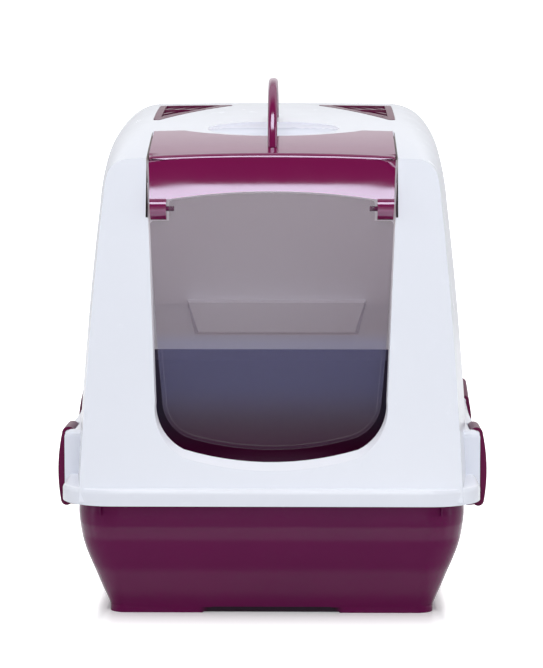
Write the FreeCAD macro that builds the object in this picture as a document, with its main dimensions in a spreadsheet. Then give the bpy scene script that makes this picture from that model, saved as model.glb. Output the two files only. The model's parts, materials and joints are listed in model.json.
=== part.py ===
"""Hooded cat litter box, built as a parametric FreeCAD document.

Millimetres. +Z is up, +X is to the right and the door faces -Y. The origin is on the floor, in the
middle of the width and of the length. "Depth" is measured backwards from the front of the flange.

The tray and the hood meet at the joint line, which runs level from the front and then sweeps up along
an arc to the rear. What sits on the joint line, such as the flange, the shoulders, the latches and
their keepers, is laid out from that one line.
"""
import FreeCAD, Part
import Sketcher
import math
import os

from FreeCAD import Matrix, Placement, Rotation, Vector

SIZES = [
    # the box as a whole
    ("overall_length", 500, "front to back over the flange"),
    ("shoulder_width", 417, "across the shoulders of the hood"),
    ("hood_height", 501.5, "floor to the highest line of the roof"),
    ("wall", 3, "thickness of the moulded walls"),
    ("seat_gap", 0.3, "air between two pieces that lie on each other"),
    ("pivot_gap", 0.1, "air round a hinge pin or bar"),
    ("edge_gap", 0.6, "air round a cover in its pocket"),
    # the joint line
    ("joint_height", 113, "height of the level stretch"),
    ("joint_bend", 250, "depth where the line starts to rise"),
    ("joint_radius", 390, "radius of the rising stretch"),
    # flange and shoulders of the hood
    ("flange_step", 3.7, "how far the flange stands in from the shoulders"),
    ("flange_height", 16, "flange above the joint line"),
    ("flange_edge", 5, "rounding of the upper edge of the flange"),
    ("flange_corner", 52, "front corners in plan"),
    ("rear_corner", 60, "rear corners in plan"),
    ("shoulder_height", 60, "shoulders above the joint line"),
    ("shoulder_start", 105, "depth of the front end of the shoulders"),
    ("shoulder_edge", 7, "rounding of the upper edges of the shoulders"),
    # body of the hood: three stations, front panel, middle and rear wall
    ("panel_depth", 7, "depth of the front panel at the joint line"),
    ("ridge_depth", 100, "depth of the ridge, the top of the front panel"),
    ("middle_depth", 250, "depth of the middle station"),
    ("rear_lean", 17, "how far the rear wall leans forward at the top"),
    ("ridge_drop", 57, "ridge below the top of the hood"),
    ("middle_drop", 21.5, "roof at the middle station below the top of the hood"),
    ("panel_inset", 23, "foot of the front panel in from the shoulders"),
    ("middle_inset", 2.5, "foot of the middle station in from the shoulders"),
    ("rear_inset", 5, "foot of the rear station in from the shoulders"),
    ("panel_top_inset", 64.5, "straight top of the panel in from the shoulders"),
    ("roof_inset", 78.5, "straight top of the roof in from the shoulders"),
    ("panel_corner", 22, "upper corners of the front panel"),
    ("roof_corner", 46, "upper corners of the roof"),
    ("panel_flank", 120, "radius below the panel corners"),
    ("roof_flank", 280, "radius below the roof corners"),
    ("crown", 4.5, "rise of the front ridge at the middle of its width"),
    ("roof_crown", 1.5, "rise of the roof at the middle of its width"),
    ("side_bulge", 2.4, "swelling of the sides"),
    ("panel_turn", 12, "end of the panel corners, degrees above level"),
    ("roof_turn", 15, "end of the roof corners, degrees above level"),
    ("panel_draft", 3.6, "end of the flank beside the panel, degrees"),
    ("side_draft", 4.5, "end of the flank beside the roof, degrees"),
    ("rear_edge", 44, "rounding of the roof and sides into the rear wall"),
    # door opening
    ("door_half_top", 124, "half the width of the opening at the ridge"),
    ("door_half_foot", 112.3, "half its width where the lower corners start"),
    ("door_sill", 39, "middle of the sill above the joint line"),
    ("door_corner_rise", 58, "start of the lower corners above the sill"),
    ("sill_half", 85, "half the width of the curved sill"),
    ("sill_rise", 12, "rise of the sill from its middle to its ends"),
    ("rim_depth", 12, "how far the rim of the opening turns in"),
    ("rim_slope", 6, "how far the sill slopes down to the front"),
    # visor and flap
    ("visor_depth", 200, "rear edge of the visor at its sides"),
    ("visor_scoop", 30, "how far the rear edge runs forward at the middle"),
    ("visor_proud", 0.6, "visor above the hood around it"),
    ("visor_gap", 1.4, "air round the visor in its pocket"),
    ("pocket_start", 118, "where the hood starts to carry the visor"),
    ("lip_drop", 19.5, "top of the lip below the ridge"),
    ("lip_reach", 15, "how far the lip reaches forward"),
    ("lip_height", 26.5, "height of the lip at the ears"),
    ("lip_step", 6.5, "inner corners of the lip above its ends"),
    ("lip_arch", 8, "how far the lower edge of the lip rises between those corners"),
    ("ear_inner", 104, "inner side of the ears from the middle"),
    ("ear_radius", 11, "round end of the ears"),
    ("pivot_drop", 48.5, "flap axis below the ridge"),
    ("pivot_depth", 88, "depth of the flap axis"),
    ("pin_radius", 2.4, "flap pins"),
    ("pin_in_ear", 10, "length of a flap pin in its ear"),
    ("pin_in_flap", 5, "length of a flap pin in the flap"),
    ("flap_thickness", 2.4, "door flap"),
    ("flap_rim", 4, "width of the raised rim of the flap"),
    ("flap_rim_height", 0.6, "height of that rim"),
    ("flap_length", 240, "axis to the lower edge of the flap"),
    ("flap_half_top", 120.4, "half the width of the flap under the ears"),
    ("flap_half_foot", 108.7, "half its width where the lower corners start"),
    ("flap_tab_gap", 2.5, "air between the tab of the flap and the ears"),
    ("flap_tab_rise", 8, "tab above the axis at its ends"),
    ("knuckle_radius", 4.4, "knuckles of the flap"),
    # carry handle and the dish for the hand
    ("handle_front", 124, "depth of the front foot"),
    ("handle_rear", 292, "depth of the rear foot"),
    ("handle_width", 9.6, "across the handle"),
    ("handle_thickness", 12, "handle bar at its feet"),
    ("handle_grip", 10, "handle bar at the top"),
    ("handle_rise", 24.5, "top of the handle above the hood"),
    ("dish_half_width", 68, "dish in the roof"),
    ("dish_half_length", 40, "dish in the roof"),
    ("dish_depth", 15, "dish in the roof"),
    ("dish_centre", 208, "depth of the middle of the dish"),
    # vents in the roof
    ("vent_outer", 128, "outer side of the vents from the middle"),
    ("vent_inner", 44, "tip of the vents from the middle"),
    ("vent_front", 252, "depth of the front tip"),
    ("vent_rear", 398, "depth of the rear side"),
    ("vent_ledge", 8, "ledge under the edge of the cover"),
    ("vent_slat", 5, "slats of the cover"),
    ("vent_pitch", 12, "slat to slat"),
    ("cover_rim", 7, "rim of the cover"),
    ("cover_lift", 25, "clear travel of a cover"),
    ("filter_thickness", 8, "carbon filter pads"),
    # latches
    ("latch_depth", 140, "middle of the front latches"),
    ("latch_sweep", 118, "rear latches back from the bend along the joint line"),
    ("latch_length", 48, "latches along the joint line"),
    ("latch_axis_inset", 3, "axis in from the side of the shoulders"),
    ("latch_axis_height", 55.5, "axis above the joint line"),
    ("latch_bar", 3.2, "radius of the bar that a latch turns on"),
    ("latch_eye", 6.6, "outer radius of the eye"),
    ("latch_bulge", 7.5, "outermost line of the latch beyond the shoulders"),
    ("latch_wall", 3, "thickness of the lever"),
    ("latch_clear", 1.2, "air between the cheeks of the lever and the shoulders"),
    ("keeper_reach", 4.5, "keeper stops short of the side of the shoulders"),
    ("keeper_drop", 3, "top of the keeper below the joint line"),
    ("keeper_height", 5, "outer end of the keeper"),
    ("keeper_slope", 35, "slope of the underside of the keeper, degrees"),
    # fasteners
    ("boss_radius", 4.5, "bosses under the visor"),
    ("screw_radius", 1.75, "shank of the screws"),
    ("head_radius", 6, "pan head of the screws"),
    ("head_height", 2.4, "pan head of the screws"),
    ("slot_width", 1, "slot in the heads"),
    ("screw_bite", 9, "how far a screw goes into the piece it holds"),
    ("screw_front", 142, "depth of the front visor screws"),
    ("screw_rear", 184, "depth of the rear visor screws"),
    ("screw_side", 102, "visor screws from the middle"),
    # tray
    ("tray_inset", 19, "upper walls of the tray in from the shoulders"),
    ("tray_front", 16, "front wall behind the flange"),
    ("tray_corner", 46, "upper corners in plan"),
    ("foot_corner", 16, "foot corners in plan"),
    ("foot_height", 6, "height of the foot ring"),
    ("foot_width", 9, "width of the foot ring"),
    ("foot_gap", 58, "half the length of the stretch where the front foot is set back"),
    ("foot_recess", 5, "how far it is set back there"),
    ("shoulder_bend", 50, "height of the rounded stretch of the tray wall"),
    ("wall_draft", 22, "draft of the lower wall, degrees"),
    ("rim_width", 11, "rim turned out at the top of the tray"),
    ("rib_place", 165, "stiffening ribs of the front wall from the middle"),
    ("rib_height", 11, "stiffening ribs"),
    ("panel_half", 105, "half the width of the raised panel in the rear wall"),
    ("panel_rise", 27, "lower edge of that panel above the joint line"),
    ("panel_round", 18, "lower corners of that panel"),
    # grip in the rear wall of the hood
    ("grip_half", 104, "half the width of the grip at its upper edge"),
    ("grip_narrowing", 11, "how much less it is at its lower edge"),
    ("grip_low", 235, "lower edge of the grip above the floor"),
    ("grip_high", 275, "upper edge of the grip above the floor"),
    ("grip_depth", 24, "how far the grip is pushed in"),
    ("grip_taper", 6, "how far its sides close in"),
]

doc = FreeCAD.newDocument("litter_box")
sheet = doc.addObject("Spreadsheet::Sheet", "Sizes")
for row, (alias, value, meaning) in enumerate(SIZES, start=1):
    sheet.set("A%d" % row, alias)
    sheet.set("B%d" % row, str(value))
    sheet.set("C%d" % row, meaning)
    sheet.setAlias("B%d" % row, alias)
doc.recompute()

# Every size again as a plain number, for the free-form shells.
S = {alias: float(sheet.get(alias)) for alias, _, _ in SIZES}

WIDE = 2 * S["shoulder_width"]      # safely wider than the box
TALL = 2 * S["hood_height"]         # safely taller than the box
half = S["shoulder_width"] / 2
length = S["overall_length"]
wall = S["wall"]
joint = S["joint_height"]
ridge = S["hood_height"] - S["ridge_drop"]
lean = (S["ridge_depth"] - S["panel_depth"]) / (ridge - joint)
lean_angle = math.atan(lean)
sill = joint + S["door_sill"]
pivot_height = ridge - S["pivot_drop"]


def at(x, depth, z):
    """A point from its distance to the right, its depth behind the front, and its height."""
    return Vector(x, depth - length / 2, z)


def polygon(points):
    return Part.makePolygon(points + [points[0]])


def arc(start, through, end):
    return Part.Arc(start, through, end).toShape()


def line(start, end):
    return Part.LineSegment(start, end).toShape()


def slab(wire, direction):
    """The solid that a flat closed wire sweeps along a direction."""
    return Part.Face(wire).extrude(direction)


def mirrored(shape):
    return shape.mirror(Vector(0, 0, 0), Vector(1, 0, 0))


def both_sides(shape):
    return shape.fuse(mirrored(shape))


finished = []


def bound(kind, name, **sizes):
    """An object whose sizes are expressions of the sheet."""
    thing = doc.addObject(kind, name)
    thing.Label = name
    for size, expression in sizes.items():
        thing.setExpression(size, expression)
    return thing


def node(name, shape):
    """Adds one free-form sub-part, an offset or a section of the lofted hood or tray."""
    part = doc.addObject("Part::Feature", name)
    part.Label = name
    part.Shape = shape.removeSplitter()
    part.Placement = Placement()
    finished.append(part)


# ---------------------------------------------------------------- the joint line

def joint_point(depth, rise):
    """A point of the line that runs parallel to the joint line, a given distance above it."""
    bend = S["joint_bend"]
    if depth <= bend:
        return at(-WIDE / 2, depth, joint + rise)
    radius = S["joint_radius"] - rise
    across = depth - bend
    return at(-WIDE / 2, depth, joint + S["joint_radius"] - math.sqrt(radius ** 2 - across ** 2))


def band(low, high, start, end):
    """All that lies between two parallels of the joint line, over a stretch of depth."""
    bend = S["joint_bend"]
    edges = []
    for rise in (low, high):
        first = joint_point(start, rise)
        last = joint_point(end, rise)
        stretch = []
        if start < bend:
            stretch.append(line(first, joint_point(bend, rise)))
            first = joint_point(bend, rise)
        if end > bend:
            middle = joint_point((max(start, bend) + end) / 2, rise)
            stretch.append(arc(first, middle, last))
        elif not stretch or end < bend:
            stretch = [line(joint_point(start, rise), last)]
        edges.append(stretch)
    ends = [line(joint_point(depth, low), joint_point(depth, high)) for depth in (start, end)]
    wire = Part.Wire(Part.__sortEdges__(edges[0] + edges[1] + ends))
    return slab(wire, Vector(WIDE, 0, 0))


def above_joint(rise, start, end):
    """All that lies above a parallel of the joint line."""
    top = at(-WIDE / 2, 0, TALL).z
    bend = S["joint_bend"]
    lower = [line(joint_point(start, rise), joint_point(bend, rise)),
             arc(joint_point(bend, rise), joint_point((bend + end) / 2, rise), joint_point(end, rise))]
    first, last = joint_point(start, rise), joint_point(end, rise)
    corner_front = Vector(first.x, first.y, top)
    corner_rear = Vector(last.x, last.y, top)
    sides = [line(first, corner_front), line(corner_front, corner_rear), line(corner_rear, last)]
    return slab(Part.Wire(Part.__sortEdges__(lower + sides)), Vector(WIDE, 0, 0))


def to_rear_latch(shape):
    """Moves what sits at the front latch along the joint line to the rear latch."""
    moved = shape.copy()
    moved.translate(Vector(0, S["joint_bend"] - S["latch_depth"], 0))
    centre = at(0, S["joint_bend"], joint + S["joint_radius"])
    moved.rotate(centre, Vector(1, 0, 0), math.degrees(S["latch_sweep"] / S["joint_radius"]))
    return moved


def at_all_latches(shape):
    """The shape at the right front latch, repeated at all four."""
    pair = shape.fuse(to_rear_latch(shape))
    return pair.fuse(mirrored(pair))


# ---------------------------------------------------------------- plan outlines

def rounded_plan(half_width, front, rear, front_radius, rear_radius, height):
    """A rectangle in plan, with its own radius at the front and at the rear corners."""
    slant = 1 - math.sqrt(0.5)
    f, r, w = front_radius, rear_radius, half_width
    p = [at(-w + f, front, height), at(w - f, front, height), at(w, front + f, height),
         at(w, rear - r, height), at(w - r, rear, height), at(-w + r, rear, height),
         at(-w, rear - r, height), at(-w, front + f, height)]
    return Part.Wire([
        line(p[0], p[1]),
        arc(p[1], at(w - f * slant, front + f * slant, height), p[2]),
        line(p[2], p[3]),
        arc(p[3], at(w - r * slant, rear - r * slant, height), p[4]),
        line(p[4], p[5]),
        arc(p[5], at(-w + r * slant, rear - r * slant, height), p[6]),
        line(p[6], p[7]),
        arc(p[7], at(-w + f * slant, front + f * slant, height), p[0])])


def hood_plan(inset, step):
    """Everything inside the plan of the flange (with its step) or of the shoulders (without)."""
    wire = rounded_plan(half - step - inset, inset, length - inset,
                        S["flange_corner"] - inset, S["rear_corner"] - inset, 0)
    return slab(wire, Vector(0, 0, TALL))


# ---------------------------------------------------------------- body of the hood

def on_arc(centre, radius, degrees):
    angle = math.radians(degrees)
    return (centre[0] + radius * math.cos(angle), centre[1] + radius * math.sin(angle))


def station(foot_half, top_half, top, crown, corner, flank, turn, draft, inset, place):
    """One cross-section of the body: a crowned top, two arcs at each shoulder and swelling sides.

    The upper corner turns from the crown down to the angle `turn`, and the flank from there to the
    angle `draft`; both are tangent to what comes before. An inset moves all of it inwards.
    """
    crown_radius = (top_half ** 2 + crown ** 2) / (2 * crown)
    tip = 90 - math.degrees(math.asin(top_half / crown_radius))
    corner_centre = on_arc((top_half, top), -corner, tip)
    flank_centre = on_arc(corner_centre, corner - flank, turn)
    foot = (foot_half - inset, joint + wall)
    top_end = on_arc(corner_centre, corner - inset, tip)
    corner_mid = on_arc(corner_centre, corner - inset, (tip + turn) / 2)
    corner_end = on_arc(corner_centre, corner - inset, turn)
    flank_mid = on_arc(flank_centre, flank - inset, (turn + draft) / 2)
    flank_end = on_arc(flank_centre, flank - inset, draft)
    side_mid = ((flank_end[0] + foot[0]) / 2 + S["side_bulge"], (flank_end[1] + foot[1]) / 2)

    def right(p):
        return place(p[0], p[1])

    def left(p):
        return place(-p[0], p[1])

    return Part.Wire([
        line(left(foot), right(foot)),
        arc(right(foot), right(side_mid), right(flank_end)),
        arc(right(flank_end), right(flank_mid), right(corner_end)),
        arc(right(corner_end), right(corner_mid), right(top_end)),
        arc(right(top_end), place(0, top + crown - inset), left(top_end)),
        arc(left(top_end), left(corner_mid), left(corner_end)),
        arc(left(corner_end), left(flank_mid), left(flank_end)),
        arc(left(flank_end), left(side_mid), left(foot))])


def panel_point(x, z, behind):
    """A point on the front panel, or a given distance behind it, square to the panel."""
    return at(x, S["panel_depth"] + lean * (z - joint) + behind / math.cos(lean_angle), z)


def hood_body(inset):
    """The body of the hood as a solid, moved inwards all round by an inset."""
    top = S["hood_height"]

    def on_panel(x, z):
        return panel_point(x, z, inset)

    def on_middle(x, z):
        return at(x, S["middle_depth"], z)

    def on_rear(x, z):
        return at(x, length - wall - inset - S["rear_lean"] * (z - joint) / (top - joint), z)

    stations = [
        station(half - S["panel_inset"], half - S["panel_top_inset"], ridge, S["crown"],
                S["panel_corner"], S["panel_flank"], S["panel_turn"], S["panel_draft"], inset, on_panel),
        station(half - S["middle_inset"], half - S["roof_inset"], top - S["middle_drop"], S["roof_crown"],
                S["roof_corner"], S["roof_flank"], S["roof_turn"], S["side_draft"], inset, on_middle),
        station(half - S["rear_inset"], half - S["roof_inset"], top, S["roof_crown"],
                S["roof_corner"], S["roof_flank"], S["roof_turn"], S["side_draft"], inset, on_rear)]
    body = Part.makeLoft(stations, True, False)
    rear = max(body.Faces, key=lambda face: face.CenterOfMass.y)
    rear_edges = [edge for edge in rear.Edges if edge.CenterOfMass.z > joint + 2 * wall]
    return body.makeFillet(S["rear_edge"] - inset, rear_edges)


# ---------------------------------------------------------------- door opening

def door_wire(grow, slope, behind):
    """The outline of the opening, in a plane parallel to the front panel.

    It grows by a distance all round, and its sill drops by a further slope.
    """
    top = ridge + S["roof_corner"]
    foot_half = S["door_half_foot"]
    corner_top = sill + S["door_corner_rise"]
    widening = (S["door_half_top"] - foot_half) / (ridge - corner_top)
    top_half = foot_half + widening * (top - corner_top)
    sill_end = (S["sill_half"], sill + S["sill_rise"])
    corner_mid = (foot_half - 0.27 * (foot_half - sill_end[0]),
                  sill_end[1] + 0.38 * (corner_top - sill_end[1]))
    drop = grow + slope

    def right(x, z):
        return panel_point(x, z, behind)

    points = [(top_half + grow, top), (foot_half + grow, corner_top),
              (corner_mid[0] + 0.75 * grow, corner_mid[1] - 0.65 * drop),
              (sill_end[0] + 0.25 * grow, sill_end[1] - 0.95 * drop)]
    r = [right(x, z) for x, z in points]
    f = [right(-x, z) for x, z in points]
    return Part.Wire([
        line(f[0], r[0]), line(r[0], r[1]), arc(r[1], r[2], r[3]),
        arc(r[3], right(0, sill - drop), f[3]), arc(f[3], f[2], f[1]), line(f[1], f[0])])


def door_cut():
    """What is taken out of the front panel: the opening with its sloping sill."""
    reach = S["rim_depth"]
    bevel = Part.makeLoft([door_wire(0.8, S["rim_slope"], -0.2), door_wire(0, 0, reach - wall)], True)
    throat = Part.makeLoft([door_wire(0, 0, -3 * reach), door_wire(0, 0, 3 * reach)], True)
    keep_rear = Part.makeBox(WIDE, S["pocket_start"] + length, TALL, at(-WIDE / 2, -length, 0))
    return bevel.fuse(throat).common(keep_rear)


def door_rim():
    """The rim that turns in round the opening."""
    reach = S["rim_depth"]
    rim = Part.makeLoft([door_wire(wall + 0.8, S["rim_slope"], 0.5), door_wire(wall, 0, reach)], True)
    below_ridge = Part.makeBox(WIDE, length, ridge - 2 * S["panel_corner"], at(-WIDE / 2, 0, 0))
    return rim.common(below_ridge)


# ---------------------------------------------------------------- covers that lie in pockets

def visor_outline(inset, front):
    """The plan of the visor: straight sides and a scooped rear edge with two small steps."""
    half_width = S["door_half_top"] - inset
    rear = S["visor_depth"] - inset
    shoulder = 0.7 * S["door_half_top"]
    step = 4
    corners = [at(-half_width, front, 0), at(half_width, front, 0), at(half_width, rear, 0),
               at(shoulder + step, rear, 0), at(shoulder, rear - step, 0)]
    mirror = [Vector(-p.x, p.y, p.z) for p in (corners[3], corners[4])]
    edges = [line(corners[0], corners[1]), line(corners[1], corners[2]),
             line(corners[2], corners[3]), line(corners[3], corners[4]),
             arc(corners[4], at(0, rear - S["visor_scoop"], 0), mirror[1]),
             line(mirror[1], mirror[0]), line(mirror[0], at(-half_width, rear, 0)),
             line(at(-half_width, rear, 0), corners[0])]
    return slab(Part.Wire(edges), Vector(0, 0, TALL))


def vent_outline(inset):
    """The plan of the right vent: a right triangle with its square corner at the outer rear."""
    rear = S["vent_rear"]
    outer = S["vent_outer"]
    width = outer - S["vent_inner"]
    depth = rear - S["vent_front"]
    slant = math.hypot(width, depth)
    # The slanting side moves in by the inset too, so each tip moves along its straight side.
    tip_x = inset * (slant + depth) / depth
    tip_y = inset * (slant + width) / width
    wire = polygon([at(outer - inset, S["vent_front"] + tip_y, 0), at(outer - inset, rear - inset, 0),
                    at(S["vent_inner"] + tip_x, rear - inset, 0)])
    prism = slab(wire, Vector(0, 0, TALL))
    upright = [e for e in prism.Edges if abs(e.Vertexes[0].Z - e.Vertexes[1].Z) > TALL / 2]
    return prism.makeFillet(max(4 - inset / 4, 1), upright)


def ellipsoid(half_x, half_y, half_z, centre):
    ball = Part.makeSphere(1)
    stretch = Matrix()
    stretch.scale(half_x, half_y, half_z)
    ball = ball.transformGeometry(stretch)
    ball.translate(centre)
    return ball


def top_of(body, x, depth):
    """Height of the upper surface of a body at a place in plan, from a straight upright probe."""
    probe = line(at(x, depth, joint + S["shoulder_height"]), at(x, depth, TALL))
    return max(v.Z for v in probe.common(body).Vertexes)


body_outer = hood_body(0)
body_inner = hood_body(wall)

# Floor of a pocket: the cover, its gap, and the air under it; then one wall of carrying material.
pocket_floor = wall + S["seat_gap"]
pocket_under = pocket_floor + wall
body_floor = hood_body(pocket_floor)
body_under = hood_body(pocket_under)


# ---------------------------------------------------------------- latch seats in the shoulders

latch_x = half - S["latch_axis_inset"]
latch_z = joint + S["latch_axis_height"]


def latch_box(x_low, x_high, z_low, z_high, half_length):
    """A box at the right front latch, its middle at the latch."""
    return Part.makeBox(x_high - x_low, 2 * half_length, z_high - z_low,
                        at(x_low, S["latch_depth"] - half_length, z_low))


def latch_rod(radius, half_length):
    """A round bar on the axis of the right front latch."""
    return Part.makeCylinder(radius, 2 * half_length, at(latch_x, S["latch_depth"] - half_length, latch_z),
                             Vector(0, 1, 0))


def latch_seat(extra):
    """What a latch needs free round its axis, with a layer of extra material round it."""
    eye = S["latch_eye"] + S["edge_gap"]
    reach = S["latch_length"] / 2 + 2 * S["edge_gap"] + extra
    top = latch_z + eye + extra
    groove = latch_box(latch_x - eye - extra, half - wall + extra, latch_z - eye - extra, top, reach)
    lowered = latch_box(half - wall - 1, half + 20, latch_z - S["latch_bar"] - extra, top, reach)
    return groove.fuse(lowered)


# ---------------------------------------------------------------- hood

def hood_mass(inset, floor_rise):
    """The hood as a filled solid, or its cavity when it is given an inset."""
    flange = hood_plan(inset, S["flange_step"])
    shoulders = hood_plan(inset, 0)
    front_band = band(floor_rise, S["flange_height"] - inset, -20, S["shoulder_start"] + 4 * wall)
    rear_band = band(floor_rise, S["shoulder_height"] - inset, S["shoulder_start"] + inset, length + 20)
    low = flange.common(front_band)
    high = shoulders.common(rear_band)
    if inset == 0:
        low = low.makeFillet(S["flange_edge"], upper_rim(low, S["flange_height"]))
        high = high.makeFillet(S["shoulder_edge"], upper_rim(high, S["shoulder_height"]))
    return low.fuse(high)


def upper_rim(solid, rise):
    """The edges at the top of a band, along its outside and, on the shoulders, its front end."""
    chosen = []
    for edge in solid.Edges:
        middle = edge.valueAt((edge.FirstParameter + edge.LastParameter) / 2)
        depth = middle.y + length / 2
        limit = joint_point(max(depth, 0), rise).z
        inside_end = rise == S["flange_height"] and abs(depth - S["shoulder_start"] - 4 * wall) < 1
        if abs(middle.z - limit) < 0.5 and not inside_end:
            chosen.append(edge)
    return chosen


def build_hood():
    mass = hood_mass(0, 0)
    cavity = hood_mass(wall, -40)
    seats = at_all_latches(latch_seat(0))
    jogs = at_all_latches(latch_seat(wall))

    # One shell: the outside less the latch seats, less a cavity that keeps clear of them.
    outside = body_outer.common(above_joint(0, -20, length + 20)).fuse(mass).cut(seats)
    inside = body_inner.fuse(cavity).cut(jogs)

    # Carrying layers under the visor and the vent covers, and the dish under the handle.
    visor_zone = visor_outline(-wall, S["ridge_depth"])
    vent_zone = both_sides(vent_outline(-wall))
    layer = body_outer.cut(body_under)
    dish_top = at(0, S["dish_centre"], top_of(body_outer, 0, S["dish_centre"]))
    dish = ellipsoid(S["dish_half_width"], S["dish_half_length"], S["dish_depth"], dish_top)
    dish_outer = ellipsoid(S["dish_half_width"] + wall, S["dish_half_length"] + wall,
                           S["dish_depth"] + wall, dish_top)
    shell = outside.cut(inside)
    shell = shell.fuse([layer.common(visor_zone), layer.common(vent_zone),
                        dish_outer.common(body_outer), door_rim().common(body_outer)])

    # Rear grip: a shallow pocket pushed in from behind.
    grip_outer, grip_inner = rear_grip()
    shell = shell.fuse(grip_outer).cut(grip_inner)

    # Openings and pockets.
    shell = shell.cut([dish, door_cut(),
                       visor_outline(0, S["ridge_depth"]).cut(body_floor),
                       both_sides(vent_outline(0)).cut(body_floor),
                       both_sides(vent_outline(S["vent_ledge"])).common(
                           Part.makeBox(WIDE, length, TALL, at(-WIDE / 2, 0, ridge)))])
    holes = [upright_rod(x, depth, S["boss_radius"] + S["seat_gap"], joint, TALL)
             for x, depth in visor_screw_places()]
    holes += [upright_rod(0, depth, S["screw_radius"] + S["pivot_gap"], joint, TALL)
              for depth in handle_screw_depths()]
    shell = shell.cut(holes)

    # Bars that the latches turn on, each on a web that rises from the side of the shoulder.
    bar_half = S["latch_length"] / 2 + S["edge_gap"]
    web = latch_box(half - wall, latch_x + S["latch_bar"] / 2, latch_z - 2 * S["latch_bar"], latch_z, bar_half)
    bar = latch_rod(S["latch_bar"], bar_half)
    return shell.fuse(at_all_latches(bar.fuse(web)))


def rear_grip():
    """Two tapered blocks in the rear wall: the material of the grip and the pocket in it."""
    low, high = S["grip_low"], S["grip_high"]
    taper = S["grip_taper"]
    blocks = []
    for extra in (wall, 0):
        top_half = S["grip_half"] + extra
        foot_half = S["grip_half"] - S["grip_narrowing"] + extra
        face = [at(-top_half, length + wall, high + extra), at(top_half, length + wall, high + extra),
                at(foot_half, length + wall, low - extra), at(-foot_half, length + wall, low - extra)]
        back = [at(p.x - math.copysign(taper, p.x), length - S["grip_depth"] - extra,
                   p.z - math.copysign(taper, p.z - (low + high) / 2)) for p in face]
        blocks.append(Part.makeLoft([polygon(face), polygon(back)], True))
    inside_rear = Part.makeBox(WIDE, length - wall, TALL, at(-WIDE / 2, 0, 0))
    return blocks[0].common(inside_rear), blocks[1]


# ---------------------------------------------------------------- screws

def upright_rod(x, depth, radius, low, high):
    return Part.makeCylinder(radius, high - low, at(x, depth, low))


def visor_screw_places():
    return [(side * S["screw_side"], depth) for side in (-1, 1)
            for depth in (S["screw_front"], S["screw_rear"])]


def handle_screw_depths():
    foot = S["handle_thickness"] / 2
    return (S["handle_front"] + foot, S["handle_rear"] - foot)


def add_screw(name, x, depth, seat, tip):
    """A pan-head screw driven upwards: its head lies under the seat, its shank ends at the tip."""
    head = bound("Part::Cylinder", name + "_head", Radius="Sizes.head_radius", Height="Sizes.head_height")
    head.Placement.Base = at(x, depth, seat - S["head_height"])
    shank = bound("Part::Cylinder", name + "_shank", Radius="Sizes.screw_radius")
    shank.Height = tip - seat + S["head_height"] / 2
    shank.Placement.Base = at(x, depth, seat - S["head_height"] / 2)
    slot = bound("Part::Box", name + "_slot", Length="2 * Sizes.head_radius",
                 Width="Sizes.slot_width", Height="Sizes.slot_width")
    slot.Placement.Base = at(x - S["head_radius"], depth - S["slot_width"] / 2, seat - S["head_height"])
    solid = doc.addObject("Part::Fuse", name + "_solid")
    solid.Base = head
    solid.Tool = shank
    cut = doc.addObject("Part::Cut", name)
    cut.Base = solid
    cut.Tool = slot
    return cut


def add_screws(name, screws):
    group = doc.addObject("Part::Compound", name)
    group.Label = name
    group.Links = screws
    finished.append(group)


def seat_under(body, x, depth):
    """Height of a screw head's seat under a sloping layer, clear of it all round the head."""
    reach = S["head_radius"]
    return min(top_of(body, x, depth + step) for step in (-reach, 0, reach)) - S["seat_gap"]


def boss_end(x, depth):
    """Height where a visor boss ends, just below the hood layer that it passes through."""
    return seat_under(body_under, x, depth) - wall / 2


def add_visor_screws():
    screws = []
    for number, (x, depth) in enumerate(visor_screw_places(), start=1):
        end = boss_end(x, depth)
        screws.append(add_screw("visor_screw_%d" % number, x, depth, end - S["seat_gap"],
                                end + S["screw_bite"] - wall))
    add_screws("visor_screws", screws)


def add_handle_screws():
    front, rear = handle_screw_depths()
    front_tip = top_of(body_outer, 0, front) + S["screw_bite"]
    rear_tip = top_of(body_outer, 0, rear) + S["screw_bite"]
    add_screws("handle_screws", [
        add_screw("handle_screw_front", 0, front, seat_under(body_under, 0, front), front_tip),
        add_screw("handle_screw_rear", 0, rear, seat_under(body_inner, 0, rear), rear_tip)])


# ---------------------------------------------------------------- visor

def flap_axis_rod(radius, x_low, x_high):
    """A round bar on the axis of the flap."""
    return Part.makeCylinder(radius, x_high - x_low, at(x_low, S["pivot_depth"], pivot_height), Vector(1, 0, 0))


def lip_profile(inset):
    """The side view of the lip: down along the panel, then forward and down."""
    top = ridge - S["lip_drop"]
    root = panel_point(0, top, -S["visor_proud"] + inset)
    tip_depth = root.y + length / 2 - S["lip_reach"]
    return root, at(0, tip_depth, top - S["lip_height"])


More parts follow.
